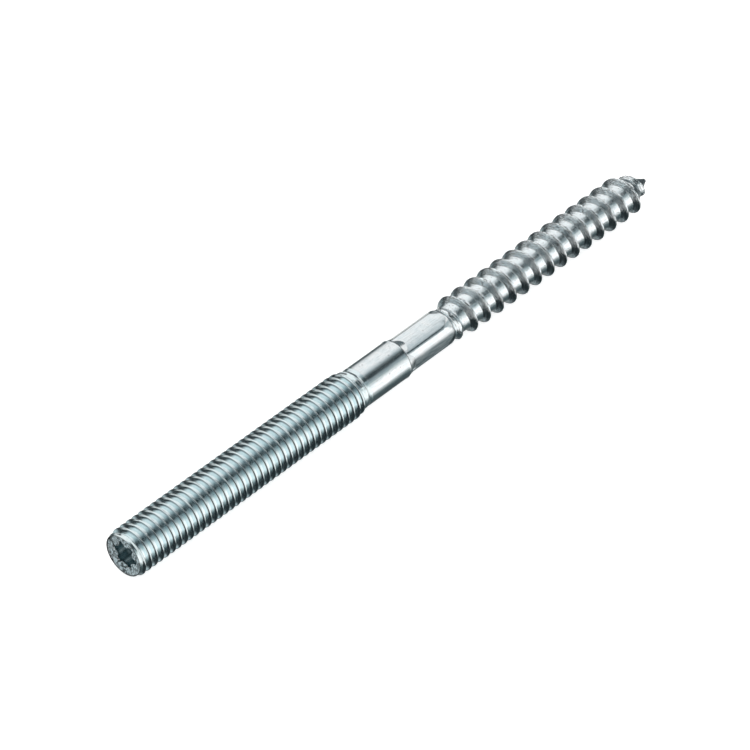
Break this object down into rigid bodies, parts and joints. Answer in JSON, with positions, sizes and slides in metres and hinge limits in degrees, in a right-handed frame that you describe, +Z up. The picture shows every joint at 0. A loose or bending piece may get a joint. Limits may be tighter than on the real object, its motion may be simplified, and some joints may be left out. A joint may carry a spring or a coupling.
{
  "type": "hanger bolt",
  "caption": "Zinc plated steel hanger bolt with a machine thread, six-lobe drive recess, pressed hexagon and coarse gimlet point wood thread.",
  "frame": {"origin": "centre of the bolt's footprint on the floor, under the middle of its length", "axes": "+X along the bolt's axis towards the wood point, +Z up, with the bolt lying down"},
  "size_m": [0.12, 0.0078, 0.0078],
  "materials": {
    "zinc_plated_steel": "bright zinc plating, slightly blue, with fine drawing lines and small pits"
  },
  "bodies": {
    "root": {"hanger_bolt": "zinc_plated_steel"}
  },
  "joints": []
}
